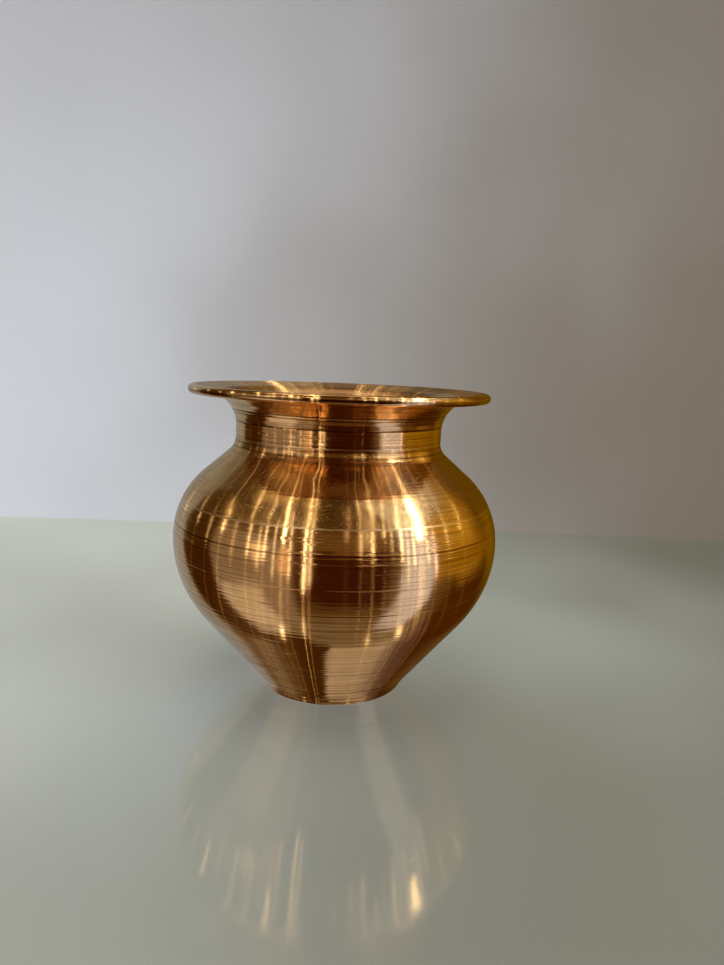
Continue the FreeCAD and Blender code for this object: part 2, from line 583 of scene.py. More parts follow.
# ---------------------------------------------------------------- finishes


@dataclass(frozen=True)
class Cut:
    """A line cut round the pot with a pointed tool: its height, width and depth in mm, and how dark
    the shade painted into it is.
    """

    height: float
    width: float
    depth: float
    shade: float

    def relief(self, z: np.ndarray) -> np.ndarray:
        """Height of the cut's surface, in metres, at a height z."""
        return -self.depth * MM * np.exp(-(((z / MM - self.height) / (self.width / 2)) ** 2))

    def mark(self, z: Field) -> Field:
        """How dark the painted shade in the cut is at a height z: its shade at the bottom, and 0
        outside it.
        """
        off = z * (1 / MM) - self.height
        return (off * off).smooth((0.75 * self.width) ** 2, (0.30 * self.width) ** 2) * self.shade


BOWL_CUTS = (
    # The line at 1.10 mm has no depth: it is only a dark line painted round the foot's joint.
    Cut(1.10, 0.35, 0.00, 0.8),
    Cut(2.50, 0.40, 0.04, 0.5),
    Cut(5.60, 0.40, 0.03, 0.3),
    Cut(9.40, 0.40, 0.03, 0.3),
    Cut(14.2, 0.40, 0.02, 0.3),
    Cut(52.6, 0.35, 0.03, 0.5),
)
SHOULDER_CUTS = (
    Cut(75.3, 0.50, 0.06, 0.6),
    Cut(73.7, 0.40, 0.03, 0.3),
    Cut(76.8, 0.40, 0.03, 0.5),
)
NECK_CUTS = (
    Cut(78.2, 0.40, 0.02, 0.4),
    Cut(79.5, 0.30, 0.02, 0.3),
    Cut(82.6, 0.40, 0.10, 1.0),
    Cut(84.1, 0.30, 0.02, 0.3),
    Cut(85.3, 0.30, 0.05, 0.6),
    Cut(86.1, 0.35, 0.05, 0.8),
    Cut(88.0, 0.30, 0.02, 0.3),
    # The dark line along the middle of the lip's bead is a painted reflection of the dark
    # surroundings, over a shallow cut.
    Cut(91.4, 0.50, 0.03, 0.8),
)


@dataclass(frozen=True)
class Metal:
    """A copper-rich brass finish: how it is coloured, polished, ringed and scratched.

    smeared is the colour of the light that the rings stretch, and streak its share. The
    three scales are features to the metre: tarnish clouds, stains, and the patches in
    which the tool's marks are plain.
    """

    name: str
    light: Colour = (0.92, 0.63, 0.33)
    deep: Colour = (0.78, 0.48, 0.16)
    smeared: Colour = (0.82, 0.53, 0.24)
    # groove is a painted shade colour: the tool's grooves, the deeper lines and the cuts are
    # darkened towards it.
    groove: Colour = (0.22, 0.11, 0.04)
    polish: float = 0.07
    streak: float = 0.22
    streak_roughness: float = 0.27
    streak_run: float = 0.985
    ring_height: float = 0.014 * MM
    ring_size: float = 0.34 * MM
    line_height: float = 0.050 * MM
    line_size: float = 0.80 * MM
    scratch_height: float = 0.0
    scratch_rough: float = 0.0
    thread_shade: float = 0.32
    cuts: tuple[Cut, ...] = ()
    tarnish: float = 0.35
    cloud_scale: float = 55.0
    stain_scale: float = 160.0
    patch_scale: float = 45.0

    def material(self) -> bpy.types.Material:
        """Build the material.

        Returns:
            A mirror-like metal mixed with a lobe that the tool's rings stretch.
        """
        made = bpy.data.materials.new(self.name)
        made.use_nodes = True
        board = Board(made.node_tree)
        place = board.add("ShaderNodeTexCoord", {}, {}, "Object")
        across = self._across(board, place)
        rings = self._rings(board, place, across)
        lines = self._lines(board, place, across)
        scratches = self._scratches(board, place)
        cloud = board.noise(place, self.cloud_scale, 3.0, 0.6).smooth(0.35, 0.72)
        stain = board.noise(place, self.stain_scale, 4.0, 0.65).smooth(0.50, 0.80)
        colour = board.blend(cloud * self.tarnish, self.light, self.deep)
        colour = board.blend(stain * (self.tarnish * 0.5), colour, self.deep)
        patch = board.noise(place, self.patch_scale, 2.0).smooth(0.36, 0.60) * 0.75 + 0.25
        marks = Thread().marks(board) * patch
        # Painted shade: the bottoms of the tool's grooves, the deeper single lines and the cut
        # lines are darkened in the colour.
        shade = marks * self.thread_shade + lines * 0.20
        z = place.part("Z")
        for cut in self.cuts:
            shade = shade + cut.mark(z) * (patch * 0.5 + 0.5)
        colour = board.blend(shade, colour, self.groove)
        rough = self.polish + cloud * 0.04 + rings * 0.03
        if self.scratch_height:
            rough = rough + scratches * self.scratch_rough
        height = rings * self.ring_height - lines * self.line_height
        if self.scratch_height:
            height = height - scratches * self.scratch_height
        normal = board.add(
            "ShaderNodeBump", {}, {"Height": height, "Distance": 1.0, "Strength": 1.0}, "Normal"
        )
        mirror = board.add(
            "ShaderNodeBsdfPrincipled",
            {},
            {"Base Color": colour, "Metallic": 1.0, "Roughness": rough, "Normal": normal},
        )
        streaks = board.add(
            "ShaderNodeBsdfAnisotropic",
            {"distribution": "BECKMANN"},
            {
                "Color": (*self.smeared, 1.0),
                "Roughness": self.streak_roughness,
                "Anisotropy": self.streak_run,
                "Normal": normal,
            },
        )
        share = rings * (1.2 * self.streak) + self.streak * 0.4
        both = board.add("ShaderNodeMixShader", {}, {0: share, 1: mirror, 2: streaks})
        board.add("ShaderNodeOutputMaterial", {}, {"Surface": both})
        return made

    @staticmethod
    def _across(board: Board, place: Field) -> Field:
        """The place in the section through the axis: distance from the axis and height."""
        radius = place.level().length()
        return board.add("ShaderNodeCombineXYZ", {}, {"X": radius, "Y": place.part("Z")})

    def _rings(self, board: Board, place: Field, across: Field) -> Field:
        """Fine turned rings, from 0 to 1, which fade in and out round the pot."""
        fine = board.noise(across, 1 / self.ring_size, 3.0, 0.6)
        fade = board.noise(place, 38.0, 1.0).smooth(0.30, 0.70) * 0.6 + 0.4
        return fine * fade

    def _lines(self, board: Board, place: Field, across: Field) -> Field:
        """Deeper single lines among the rings, from 0 to 1, each on part of its way round."""
        drift = across + place * 0.004
        lines = board.noise(drift, 1 / self.line_size, 1.0, 0.4).smooth(0.60, 0.70)
        return lines * board.noise(place, 70.0, 1.0).smooth(0.42, 0.62)

    def _scratches(self, board: Board, place: Field) -> Field:
        """Fine crossing scratches from buffing, from 0 to 1."""
        total: Field | None = None
        for turn in ((0.3, 0.2, 0.5), (1.1, -0.4, 1.9), (-0.7, 0.9, 3.0), (0.2, 1.3, 4.2)):
            turned = board.add(
                "ShaderNodeMapping",
                {"vector_type": "TEXTURE"},
                {"Vector": place, "Rotation": turn, "Scale": (0.00030, 0.00030, 0.016)},
            )
            marks = board.noise(turned, 1.0, 0.0, 0.5).smooth(0.68, 0.78)
            total = marks if total is None else total + marks
        return total


# ---------------------------------------------------------------- the pot's pieces


@dataclass
class Bowl:
    """The lower half: foot curve, cone and belly, turned with fine rings."""

    shape: PotShape
    step: float = 0.19 * MM
    rings: ToolRings = field(default_factory=lambda: ToolRings(seed=11, slope=1.6))
    sway: HandWork = field(default_factory=lambda: HandWork(seed=5, size=26 * MM, slope=0.25))

    def outline(self) -> Outline:
        """The bowl's section, with the tongue that the shoulder laps over."""
        s = self.shape
        wall, dome = s.wall, s.shoulder
        bottom = s.base_sheet + s.gap
        run = s.on_shoulder(s.joggle_run)
        end = s.seam_angle + s.on_shoulder(s.belly_lap)
        path = Outline(s.foot_skin(0, bottom))
        path.arc(
            wall.hollow, s.foot_radius, s.foot_angle_at(0, bottom), 180 - wall.lean, self.step, True
        )
        path.arc(wall.centre, wall.radius, -wall.lean, 0, self.step, True)
        path.arc(dome.centre, dome.radius, 0, s.seam_angle, self.step, True)
        path.arc(dome.centre, dome.radius - s.tongue_in, s.seam_angle, end)
        path.arc(dome.centre, dome.radius - s.tongue_in - s.sheet, end, s.seam_angle)
        path.arc(dome.centre, dome.radius - s.sheet, s.seam_angle - run, 0)
        path.arc(wall.centre, wall.radius - s.sheet, 0, -wall.lean)
        path.arc(
            wall.hollow,
            s.foot_radius + s.sheet,
            180 - wall.lean,
            s.foot_angle_at(s.sheet, bottom),
        )
        return path.line(path.points[0])

    def relief(self, place: np.ndarray, swing: np.ndarray) -> np.ndarray:
        """Rings, cut lines near the foot and slow sway of the skin."""
        z, run = place[:, 1], place[:, 2]
        patches = 0.75 + 0.25 * np.cos(2 * swing + 40 * z)
        lift = (self.rings.heights(run) + Thread().heights(run, 0.012 * MM)) * patches
        lift = lift + self.sway.heights(run, swing, self.shape.belly_r)
        for cut in BOWL_CUTS:
            lift = lift + cut.relief(z)
        return lift

    def build(self, skin: bpy.types.Material, inside: bpy.types.Material) -> bpy.types.Object:
        """Build and dress the bowl."""
        made = Lathe(self.outline()).piece("turned_bowl", [skin, inside], self.relief)
        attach(made, "root")
        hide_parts("lower_bowl")
        return made


@dataclass
class Shoulder:
    """The upper dome, from the belly seam to the neck's root, buffed by hand."""

    shape: PotShape
    step: float = 0.19 * MM
    rings: ToolRings = field(default_factory=lambda: ToolRings(seed=23, slope=1.6))
    buffing: HandWork = field(default_factory=lambda: HandWork(seed=8, size=9 * MM, slope=0.8))

    def outline(self) -> Outline:
        """The shoulder's section, with the upstand inside the neck."""
        s = self.shape
        dome = s.shoulder
        start = s.seam_angle + s.on_shoulder(s.gap)
        upstand = s.neck_r - s.tongue_in
        step_down = math.degrees(math.asin(s.joggle_run / (s.root_radius + s.sheet)))
        path = Outline(polar(dome.centre, dome.radius, start))
        path.arc(dome.centre, dome.radius, start, dome.lean, self.step, True)
        path.arc(s.root, s.root_radius, 180 + dome.lean, 180, self.step, True)
        path.line((upstand, s.neck_seam))
        path.line((upstand, s.neck_lap_top))
        path.line((upstand - s.sheet, s.neck_lap_top))
        path.line((upstand - s.sheet, s.neck_seam))
        path.arc(s.root, s.root_radius + s.sheet, 180 + step_down, 180 + dome.lean)
        path.arc(dome.centre, dome.radius - s.sheet, dome.lean, start)
        return path.line(path.points[0])

    def relief(self, place: np.ndarray, swing: np.ndarray) -> np.ndarray:
        """Faint rings under the buffing, and a cut line at the neck's root."""
        z, run = place[:, 1], place[:, 2]
        lift = self.rings.heights(run) + self.buffing.heights(run, swing, 42 * MM)
        for cut in SHOULDER_CUTS:
            lift = lift + cut.relief(z)
        return lift

    def build(self, skin: bpy.types.Material, inside: bpy.types.Material) -> bpy.types.Object:
        """Build and dress the shoulder."""
        made = Lathe(self.outline()).piece("buffed_shoulder", [skin, inside], self.relief)
        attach(made, "root")
        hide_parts("shoulder_shell")
        return made


@dataclass
class Neck:
    """The neck and flared mouth, its edge rolled out and down round the wire."""

    shape: PotShape
    step: float = 0.16 * MM
    rings: ToolRings = field(default_factory=lambda: ToolRings(seed=31, slope=1.4))
    hem_ragged: float = 7.0

    def outline(self) -> Outline:
        """The neck's section, both faces of the flared mouth shown."""
        s = self.shape
        flare = (s.neck_r + s.flare_radius, s.neck_seam + s.neck_flat)
        across, up = s.rim[0] - flare[0], s.rim[1] - flare[1]
        drop = s.flare_radius - s.hem_in
        flat = math.sqrt(across**2 + up**2 - drop**2)
        tangent = 180 - math.degrees(math.atan2(across, up) + math.atan2(drop, flat))
        path = Outline((s.neck_r, s.neck_seam + s.gap))
        path.arc(flare, s.flare_radius, 180, tangent, self.step, True)
        path.arc(s.rim, s.hem_in, tangent, tangent - s.hem_wrap, 0.25 * MM)
        path.arc(s.rim, s.hem_out, tangent - s.hem_wrap, tangent, 0.12 * MM, True)
        path.arc(flare, s.flare_radius + s.sheet, tangent, 180, 0.3 * MM)
        path.line((s.neck_r - s.sheet, s.neck_seam + s.gap))
        return path.line(path.points[0])

    def relief(self, place: np.ndarray, swing: np.ndarray) -> np.ndarray:
        """Rings up to the lip, and cut lines round the neck."""
        z, run = place[:, 1], place[:, 2]
        below_lip = z < 92 * MM
        lift = self.rings.heights(run) * (0.8 + 0.2 * np.cos(3 * swing)) * below_lip
        for cut in NECK_CUTS:
            lift = lift + cut.relief(z)
        return lift

    def ragged(self, lathe: Lathe, grid: np.ndarray) -> np.ndarray:
        """Lets the sheet's raw edge under the lip wander, as a rolled hem's does."""
        s = self.shape
        swing = np.arange(lathe.columns) * 2 * math.pi / lathe.columns
        waver = HandWork(seed=3, size=5 * MM, slope=1.0).heights(np.zeros(1), swing, s.lip_r)
        waver = waver / np.abs(waver).max()
        r, z = lathe.points[:, 0] - s.rim[0], lathe.points[:, 1] - s.rim[1]
        from_rim = np.hypot(r, z)
        turn = np.degrees(np.arctan2(z, r))
        rolled = (from_rim < s.hem_out * 1.001) & (turn < -60) & (turn > -175)
        share = np.where(rolled, ((-60 - turn) / 105).clip(0, 1) ** 2, 0)
        swung = np.radians(turn[:, None] + share[:, None] * self.hem_ragged * waver[None, :])
        new_r = s.rim[0] + from_rim[:, None] * np.cos(swung)
        new_z = s.rim[1] + from_rim[:, None] * np.sin(swung)
        moved = np.stack([new_r * np.sin(swing), -new_r * np.cos(swing), new_z], axis=2)
        return np.where(rolled[:, None, None], moved, grid)

    def build(self, skin: bpy.types.Material, inside: bpy.types.Material) -> bpy.types.Object:
        """Build and dress the neck."""
        lathe = Lathe(self.outline())
        grid = self.ragged(lathe, lathe.surface(self.relief))
        made = lathe.piece("flared_neck", [skin, inside], positions=grid)
        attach(made, "root")
        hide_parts("neck_collar")
        return made


@dataclass
class Seams:
    """The three rings of filler: at the foot, the belly and the neck's root."""

    shape: PotShape
    proud: float = 0.022 * MM
    smear: float = 0.16 * MM

    def belly(self) -> Outline:
        """The belly seam's filler, a low bead at the skin and a sleeve in the lap."""
        s = self.shape
        dome = s.shoulder
        start, gap = s.seam_angle, s.on_shoulder(s.gap)
        end = start + s.on_shoulder(s.belly_lap)
        over = s.on_shoulder(self.smear)
        path = Outline(polar(dome.centre, dome.radius, start))
        path.line(polar(dome.centre, dome.radius + 0.004 * MM, start - over), 1, True)
        path.line(polar(dome.centre, dome.radius + self.proud, start), 1, True)
        path.line(polar(dome.centre, dome.radius + self.proud, start + gap), 1, True)
        path.line(polar(dome.centre, dome.radius + 0.004 * MM, start + gap + over), 1, True)
        path.line(polar(dome.centre, dome.radius, start + gap))
        path.arc(dome.centre, dome.radius - s.sheet, start + gap, end)
        path.arc(dome.centre, dome.radius - s.tongue_in, end, start)
        return path.line(path.points[0])

    def neck(self) -> Outline:
        """The neck seam's filler, a low bead at the skin and a sleeve in the lap."""
        s = self.shape
        low, high, skin = s.neck_seam, s.neck_seam + s.gap, s.neck_r
        path = Outline((skin, low))
        path.line((skin + 0.004 * MM, low - self.smear), 1, True)
        path.line((skin + self.proud, low), 1, True)
        path.line((skin + self.proud, high), 1, True)
        path.line((skin + 0.004 * MM, high + self.smear), 1, True)
        path.line((skin, high))
        path.line((skin - s.sheet, high))
        path.line((skin - s.sheet, s.neck_lap_top))
        path.line((skin - s.tongue_in, s.neck_lap_top))
        path.line((skin - s.tongue_in, low))
        return path.line(path.points[0])

    def foot(self) -> Outline:
        """The foot seam's filler, with a fillet in the corner inside."""
        s = self.shape
        leg = 0.9 * MM
        low, high = s.base_sheet, s.base_sheet + s.gap
        path = Outline(s.foot_skin(0, low))
        path.line(s.foot_skin(-self.proud, (low + high) / 2), 1, True)
        path.line(s.foot_skin(0, high), 1, True)
        path.line(s.foot_skin(s.sheet, high))
        path.line(s.foot_skin(s.sheet, high + leg))
        path.line((s.foot_skin(s.sheet, high)[0] - leg, low))
        return path.line(path.points[0])

    def build(self, filler: bpy.types.Material) -> list[bpy.types.Object]:
        """Build and dress the three rings."""
        made = []
        uneven = HandWork(seed=41, size=6 * MM, slope=0.35)
        for name, node, outline, radius in (
            ("belly_seam", "belly_braze", self.belly(), self.shape.belly_r),
            ("neck_seam", "neck_braze", self.neck(), self.shape.neck_r),
            ("foot_seam", "base_braze", self.foot(), self.shape.foot_r),
        ):
            ring = Lathe(outline).piece(
                name,
                [filler],
                lambda place, swing, r=radius: uneven.heights(0 * place[:, 0], swing, r) * 0.25,
            )
            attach(ring, "root")
            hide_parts(node)
            made.append(ring)
        return made


@dataclass
class FootPlate:
    """The flat plate under the bowl, its middle pressed up off the floor."""

    shape: PotShape
    dish_r: float = 15.0 * MM
    dish_rise: float = 1.0 * MM
    corner: float = 0.12 * MM

    def outline(self) -> Outline:
        """The plate's section from the axis, under it and back over it to the axis."""
        s = self.shape
        inner = s.base_sheet * (math.sqrt(2) - 1)
        edge = s.foot_skin(0, self.corner)
        path = Outline((0.4 * MM, self.dish_rise))
        path.line((self.dish_r - self.dish_rise, self.dish_rise), 0.3 * MM, True)
        path.line((self.dish_r, 0.0), 0.2 * MM, True)
        path.line((s.foot_r - self.corner, 0.0), 0.2 * MM, True)
        path.line(edge, 1, True)
        path.arc(
            s.wall.hollow,
            s.foot_radius,
            s.foot_angle_at(0, self.corner),
            s.foot_angle_at(0, s.base_sheet),
            0.2 * MM,
            True,
        )
        path.line((self.dish_r + inner, s.base_sheet), 0.5 * MM)
        path.line((self.dish_r + inner - self.dish_rise, s.base_sheet + self.dish_rise), 0.5 * MM)
        return path.line((0.4 * MM, s.base_sheet + self.dish_rise), 0.8 * MM)

    def relief(self, place: np.ndarray, swing: np.ndarray) -> np.ndarray:
        """Facing rings under the plate, cut up into it so that it still stands flat."""
        rings = ToolRings(seed=51, slope=0.8, shortest=0.8 * MM)
        height = rings.heights(place[:, 0])
        return np.where(place[:, 1] < 0.02 * MM, -np.abs(height) * 0.6, height * 0.5) + 0 * swing

    def build(self, skin: bpy.types.Material, inside: bpy.types.Material) -> bpy.types.Object:
        """Build and dress the plate."""
        made = Lathe(self.outline(), closed=False).piece("foot_plate", [skin, inside], self.relief)
        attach(made, "root")
        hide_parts("base_plate")
        return made


# ---------------------------------------------------------------- studio


@dataclass(frozen=True)
class Glow:
    """A soft patch of the surroundings, placed by its bearing from the front, in degrees."""

    bearing: float
    half_width: float
    low: float
    high: float
    colour: Colour
    edge: float = 4.0
    soft: float = 5.0


@dataclass(frozen=True)
class Tube:
    """A thin curved lamp whose mirror image runs down one meridian of the pot.

    The meridian is in degrees round from the front. low and high say how far the image
    reaches, as twice the skin's tilt from upright.
    """

    meridian: float
    low: float
    high: float
    strength: float
    half_width: float = 0.42
    colour: Colour = (1.0, 0.95, 0.86)
    soft: float = 8.0


@dataclass
class Studio:
    """Plain pale floor and backdrop, soft surroundings, thin lamps and the camera.

    away is the camera's distance in front of the pot and above how high it is, in belly
    radii. beads is how much of a thin lamp's light comes and goes along it.
    """

    shape: PotShape
    surround: Colour = (0.13, 0.09, 0.045)
    glows: tuple[Glow, ...] = (
        Glow(0, 181, -95, -58, (0.21, 0.185, 0.155)),
        Glow(-128, 68, -95, -64, (0.070, 0.036, 0.004)),
        Glow(142, 46, -95, -62, (0.40, 0.385, 0.385)),
        Glow(-153, 28, -48, 36, (0.29, 0.32, 0.36)),
        Glow(-107, 17, -22, 30, (0.075, 0.045, 0.006)),
        Glow(-107, 17, -68, -6, (0.070, 0.030, 0.005)),
        Glow(-60, 31, -64, 24, (0.25, 0.22, 0.21)),
        Glow(-72, 19, -64, -27, (0.48, 0.47, 0.50)),
        Glow(-52, 5, -2, 14, (0.75, 0.62, 0.52), 2.0),
        Glow(-33, 4, -14, 16, (0.58, 0.42, 0.30), 2.0),
        Glow(6, 32, -43, 14, (0.055, 0.014, 0.002)),
        Glow(5, 26, 16, 36, (0.16, 0.11, 0.06)),
        Glow(60, 14, -62, 40, (0.50, 0.55, 0.80), 3.0),
        Glow(100, 26, -20, 38, (0.42, 0.30, 0.06), 8.0, 10.0),
        Glow(145, 28, -24, 24, (0.15, 0.10, 0.006), 12.0, 10.0),
        Glow(110, 36, -14, 2, (0.24, 0.155, 0.008), 8.0, 10.0),
        Glow(122, 30, -62, -20, (0.065, 0.022, 0.001), 10.0, 8.0),
        Glow(86, 40, 36, 70, (0.50, 0.52, 0.55), 8.0, 8.0),
        Glow(180, 95, 58, 84, (0.62, 0.50, 0.38), 20.0, 6.0),
    )
    ceiling: Colour = (0.10, 0.075, 0.04)
    zenith: Colour = (0.06, 0.028, 0.006)
    tubes: tuple[Tube, ...] = (
        Tube(-62.0, 8, 46, 1.0),
        Tube(-50.0, 16, 60, 1.2),
        Tube(-43.0, 2, 50, 1.0),
        Tube(-37.0, 20, 64, 4.0),
        Tube(-32.0, -10, 44, 1.2),
        Tube(-26.5, 0, 92, 2.8),
        Tube(-23.0, -14, 40, 1.8),
        Tube(-21.0, 0, 96, 2.6),
        Tube(-18.0, -18, 50, 1.6),
        Tube(-15.2, 24, 84, 6.0, 0.9),
        Tube(-13.0, -20, 62, 2.2),
        Tube(-8.5, -30, 104, 5.5, 0.45),
        Tube(-6.9, -24, 96, 3.4),
        Tube(3.5, 30, 70, 1.0, 1.2, (1.0, 0.80, 0.72)),
        Tube(7.7, 10, 90, 3.0),
        Tube(9.4, 22, 60, 1.8),
        Tube(11.2, 4, 104, 4.2),
        Tube(14.7, 30, 84, 3.0),
        Tube(17.0, 8, 50, 1.6),
        Tube(20.0, 4, 104, 4.4),
        Tube(22.0, -24, 60, 1.8),
        Tube(24.0, -4, 84, 3.2),
        Tube(26.3, 28, 80, 11.0, 2.2),
        Tube(28.8, -4, 66, 2.6),
        Tube(31.5, -22, 34, 2.2, 0.6, (1.0, 0.84, 0.98)),
        Tube(37.0, 12, 60, 1.6),
        Tube(44.0, 26, 64, 1.8, 0.6, (1.0, 0.90, 0.62)),
        Tube(-15.0, -84, -72, 3.0, 0.8),
        Tube(-8.5, -74, -62, 1.8),
        Tube(11.0, -88, -78, 2.4, 0.6),
        Tube(20.5, -82, -70, 3.0, 0.9),
    )
    away: float = 4.582
    above: float = 2.042
    beads: float = 0.75
    floor_r: float = 0.46
    sweep_bend: float = 0.5
    sweep_top: float = 1.6
    wall_at: float = 0.212
    wall_half: float = 0.42
    wall_top: float = 1.2
    # Painted light and shade on the backdrop: lit and bluish on the left, darker and brownish on
    # the right.
    cool_lit_side: Colour = (0.46, 0.49, 0.54)
    warm_shaded_side: Colour = (0.21, 0.19, 0.165)
    polished_front: float = 0.065
    polished_reach: tuple[float, float] = (0.036, 0.100)
    # Painted light and shade on the floor: lit on the left, darker on the right.
    floor_cool_lit: Colour = (0.235, 0.253, 0.241)
    floor_warm_shaded: Colour = (0.080, 0.082, 0.071)

    def floor(self) -> None:
        """A round pale floor, and a backdrop round and behind it that only the camera sees."""
        glass = self._paint("pale_floor", (self.floor_cool_lit, self.floor_warm_shaded), 0.05, 0.92)
        disc = self._disc("floor", [(0.001, 0.0), (self.floor_r, 0.0)], glass)
        bend = self.sweep_bend
        rise = [(self.floor_r, 0.0)]
        for a in np.radians(range(3, 91, 3)):
            rise.append((self.floor_r + bend * math.sin(a), bend - bend * math.cos(a)))
        rise.append((self.floor_r + bend, self.sweep_top))
        plaster = self._paint("pale_backdrop", (self.cool_lit_side, self.warm_shaded_side), 0.7, 0.45)
        sweep = self._disc("sweep", rise, plaster)
        mesh = bpy.data.meshes.new("wall")
        wide, deep, tall = self.wall_half, self.wall_at, self.wall_top
        corners = [(-wide, deep, 0.0), (wide, deep, 0.0), (wide, deep, tall), (-wide, deep, tall)]
        mesh.from_pydata(corners, [], [(0, 1, 2, 3)])
        mesh.materials.append(plaster)
        wall = bpy.data.objects.new("wall", mesh)
        bpy.context.scene.collection.objects.link(wall)
        for backdrop in (sweep, wall):
            backdrop.visible_diffuse = False
        for stage in (sweep, wall, disc):
            stage.visible_glossy = False
            stage.visible_shadow = False
        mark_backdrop(disc, sweep, wall)

    def _paint(
        self, name: str, sides: tuple[Colour, Colour], rough: float, glow: float
    ) -> bpy.types.Material:
        """Pale paint, lit and bluish on one side and painted darker and brownish on the other, with
        a soft light in it.

        It shows from its front only, and has its polish just in front of the pot. It is painted
        darker towards the top and towards the front, as painted shade.

        Args:
            name: The material's name.
            sides: Its colour on the lit side and on the side painted darker.
            rough: Its roughness.
            glow: How much light it gives off by itself, as a share of its colour.

        Returns:
            The material.
        """
        made = bpy.data.materials.new(name)
        made.use_nodes = True
        board = Board(made.node_tree)
        place = board.add("ShaderNodeTexCoord", {}, {}, "Object")
        cloud = board.noise(place, 4.5, 2.0, 0.5).smooth(0.30, 0.70)
        # Painted light and shade: from the lit side on the left to the darker side on the right,
        # with soft mottling.
        side = (place.part("X") + (cloud - 0.5) * 0.12).smooth(-0.22, 0.26)
        colour = board.blend(side, *sides)
        # Painted shade: darker towards the top of the backdrop.
        high = place.part("Z").smooth(0.05, 0.50) * 0.70
        colour = board.blend(high, colour, (0.20, 0.195, 0.19))
        # Painted shade: darker towards the front.
        front = place.part("Y").smooth(-0.01, -0.16) * 0.25
        colour = board.blend(front, colour, (0.10, 0.10, 0.085))
        distance = (place + (0.0, self.polished_front, 0.0)).length()
        dull = distance.smooth(*self.polished_reach) * (0.7 - rough) + rough
        surface = board.add(
            "ShaderNodeBsdfPrincipled",
            {},
            {
                "Base Color": colour,
                "Roughness": dull,
                "Specular IOR Level": 1.0 if rough < 0.1 else 0.3,
                "Emission Color": colour,
                "Emission Strength": glow,
            },
        )
        clear = board.add("ShaderNodeBsdfTransparent")
        behind = board.add("ShaderNodeNewGeometry", {}, {}, "Backfacing")
        shown = board.add("ShaderNodeMixShader", {}, {0: behind, 1: surface, 2: clear})
        board.add("ShaderNodeOutputMaterial", {}, {"Surface": shown})
        return made

    @staticmethod
    def _disc(
        name: str, outline: list[tuple[float, float]], paint: bpy.types.Material
    ) -> bpy.types.Object:
        """An open surface turned about the pot's axis."""
        cols = 128
        swing = [2 * math.pi * j / cols for j in range(cols)]
        verts = [(r * math.sin(a), -r * math.cos(a), z) for r, z in outline for a in swing]
        faces = []
        for low in range(0, (len(outline) - 1) * cols, cols):
            for j in range(cols):
                beside = (j + 1) % cols
                faces.append((low + cols + j, low + cols + beside, low + beside, low + j))
        mesh = bpy.data.meshes.new(name)
        mesh.from_pydata(verts, [], faces)
        mesh.materials.append(paint)
        mesh.shade_smooth()
        made = bpy.data.objects.new(name, mesh)
        bpy.context.scene.collection.objects.link(made)
        return made

    def surroundings(self) -> None:
        """Soft patches of light round a dim room, a warm ceiling, and thin lamps."""
        world = bpy.data.worlds.new("studio")
        bpy.context.scene.world = world
        world.use_nodes = True
        board = Board(world.node_tree)
        way = board.add("ShaderNodeTexCoord", {}, {}, "Generated")
        z = way.part("Z")
        level = board.add("ShaderNodeVectorMath", {"operation": "NORMALIZE"}, {0: way.level()})
        rise = board.add("ShaderNodeMath", {"operation": "ARCSINE"}, {0: z}) * math.degrees(1)
        waver = board.noise(way, 3.0, 3.0, 0.6)
        colour: Any = board.blend(rise.smooth(30, 46), self.surround, self.ceiling)
        for glow in self.glows:
            colour = board.blend(self._inside(board, glow, level, rise, waver), colour, glow.colour)
        colour = board.blend(rise.smooth(76, 87), colour, self.zenith)
        beads = board.noise(way, 34.0, 2.0, 0.6).smooth(0.38, 0.62)
        for tube in self.tubes:
            bright = tuple(tube.strength * c for c in tube.colour)
            inside = self._along(board, tube, way, z) * (beads * self.beads + (1 - self.beads))
            colour = board.blend(inside, colour, bright)
        back = board.add("ShaderNodeBackground", {}, {"Color": colour, "Strength": 1.0})
        board.add("ShaderNodeOutputWorld", {}, {"Surface": back})

    @staticmethod
    def _inside(board: Board, glow: Glow, level: Field, rise: Field, waver: Field) -> Field:
        """1 inside a glow and 0 outside it.

        Args:
            board: The world's node tree.
            glow: The patch of light.
            level: Direction looked at, laid level.
            rise: Its height above the horizon, in degrees.
            waver: Noise that makes the edges of wide patches uneven.

        Returns:
            The share of the glow's light in that direction.
        """
        a = math.radians(glow.bearing)
        toward = (math.sin(a), -math.cos(a), 0.0)
        apart = board.add("ShaderNodeMath", {"operation": "ARCCOSINE"}, {0: level.along(toward)})
        apart = apart * math.degrees(1)
        apart = apart + (waver - 0.5) * 12
        height = rise + (waver - 0.5) * 26
        inside = apart.smooth(glow.half_width + glow.edge, glow.half_width - glow.edge)
        inside = inside * height.smooth(glow.low - glow.soft, glow.low + glow.soft)
        return inside * height.smooth(glow.high + glow.soft, glow.high - glow.soft)

    def _along(self, board: Board, tube: Tube, way: Field, z: Field) -> Field:
        """1 on a tube and 0 off it.

        Args:
            board: The world's node tree.
            tube: The thin lamp.
            way: Direction looked at.
            z: That direction's height.

        Returns:
            The share of the tube's light in that direction.
        """
        a = math.radians(tube.meridian)
        sight = math.atan2(math.sin(a), self.away - math.cos(a))
        aside = (math.cos(a), math.sin(a), 0.0)
        outward = (math.sin(a), -math.cos(a), 0.0)
        turn = board.add("ShaderNodeMath", {"operation": "ARCTAN2"}, {0: z, 1: way.along(outward)})
        turn = turn * math.degrees(1)
        off = way.along(aside) * math.degrees(1) - math.degrees(math.sin(a + sight))
        inside = (off * off).smooth((tube.half_width + 0.3) ** 2, (tube.half_width * 0.5) ** 2)
        inside = inside * turn.smooth(tube.low - tube.soft, tube.low + tube.soft)
        return inside * turn.smooth(tube.high + tube.soft, tube.high - tube.soft)

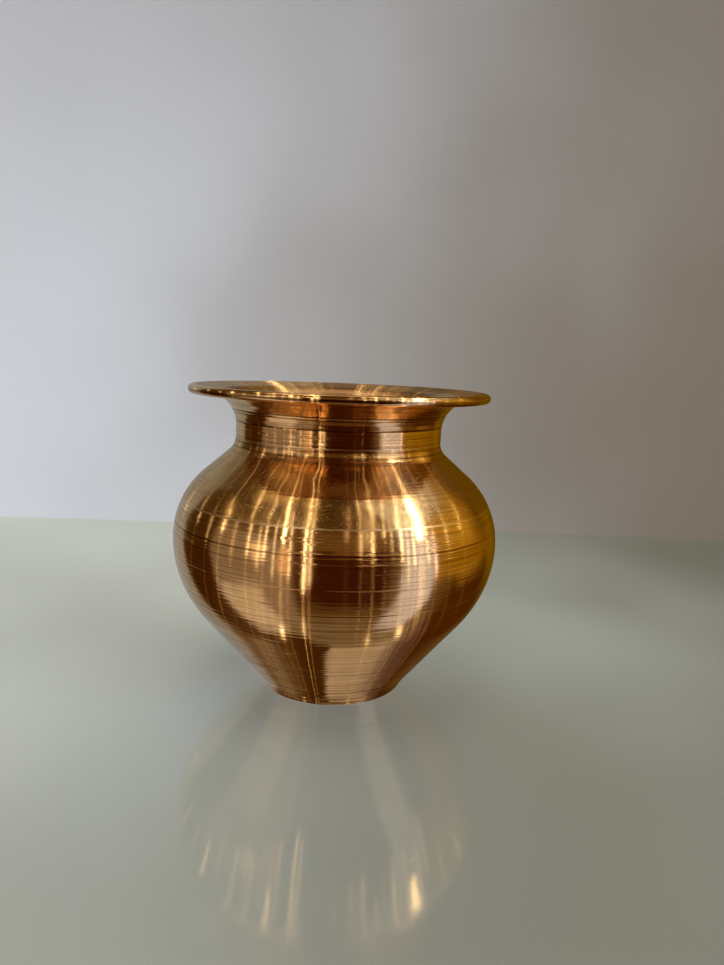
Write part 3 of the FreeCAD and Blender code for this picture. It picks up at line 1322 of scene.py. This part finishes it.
    def overhead(self) -> None:
        """One soft lamp above, for the floor."""
        light = bpy.data.lights.new("overhead", "AREA")
        light.size = 0.7
        light.energy = 5.0
        light.color = (1.0, 0.97, 0.93)
        lamp = bpy.data.objects.new("overhead", light)
        lamp.location = (-0.15, -0.1, 1.1)
        lamp.rotation_euler = Vector(lamp.location).to_track_quat("Z", "Y").to_euler()
        lamp.visible_camera = False
        lamp.visible_glossy = False
        bpy.context.scene.collection.objects.link(lamp)

    def camera(self) -> None:
        """A hand-held phone's camera close in front, a little above the lip."""
        radius = self.shape.belly_r
        data = bpy.data.cameras.new("camera")
        data.sensor_fit = "AUTO"
        data.sensor_width = 36.0
        data.lens = 27.6
        data.clip_start = 0.01
        yaw, pitch, roll = math.radians(1.95), math.radians(9.5), math.radians(2.31)
        turned = Euler((math.pi / 2 - pitch, 0.0, -yaw)).to_matrix()
        turned = turned @ Euler((0.0, 0.0, roll)).to_matrix()
        made = bpy.data.objects.new("camera", data)
        made.location = (0.0, -self.away * radius, self.above * radius)
        made.rotation_euler = turned.to_euler()
        bpy.context.scene.collection.objects.link(made)
        bpy.context.scene.camera = made
        bpy.context.scene.view_settings.view_transform = "Standard"
        bpy.context.scene.view_settings.look = "High Contrast"


def main() -> None:
    """Build the pot piece by piece, then the studio."""
    logging.basicConfig(level=logging.INFO, format="%(name)s: %(message)s")
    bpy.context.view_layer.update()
    shape = PotShape()
    turned = Metal("turned_skin", cuts=BOWL_CUTS + NECK_CUTS).material()
    buffed = Metal(
        "buffed_skin",
        polish=0.09,
        streak=0.42,
        streak_roughness=0.28,
        ring_height=0.012 * MM,
        line_height=0.0,
        scratch_height=0.003 * MM,
        scratch_rough=0.10,
        thread_shade=0.10,
        cuts=SHOULDER_CUTS,
        deep=(0.62, 0.38, 0.12),
        tarnish=0.8,
    ).material()
    inner = Metal(
        "inner_skin",
        light=(0.88, 0.66, 0.42),
        deep=(0.60, 0.42, 0.24),
        polish=0.24,
        streak=0.4,
        thread_shade=0.3,
        tarnish=0.45,
    ).material()
    filler = Metal(
        "filler",
        light=(0.90, 0.68, 0.42),
        deep=(0.70, 0.47, 0.24),
        polish=0.25,
        streak=0.2,
        thread_shade=0.0,
        tarnish=0.9,
    ).material()
    wire = Metal(
        "drawn_wire", light=(0.80, 0.58, 0.30), polish=0.3, streak=0.2, thread_shade=0.0
    ).material()
    made = [
        FootPlate(shape).build(turned, inner),
        Bowl(shape).build(turned, inner),
        Shoulder(shape).build(buffed, inner),
        Neck(shape).build(turned, inner),
        *Seams(shape).build(filler),
    ]
    rim_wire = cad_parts["rim_wire"]
    rim_wire.data.materials.clear()
    rim_wire.data.materials.append(wire)
    for piece in [*made, rim_wire]:
        LOG.info("%s: %d faces", piece.name, len(piece.data.polygons))
    studio = Studio(shape)
    studio.floor()
    studio.surroundings()
    studio.overhead()
    studio.camera()


if __name__ == "__main__":
    main()
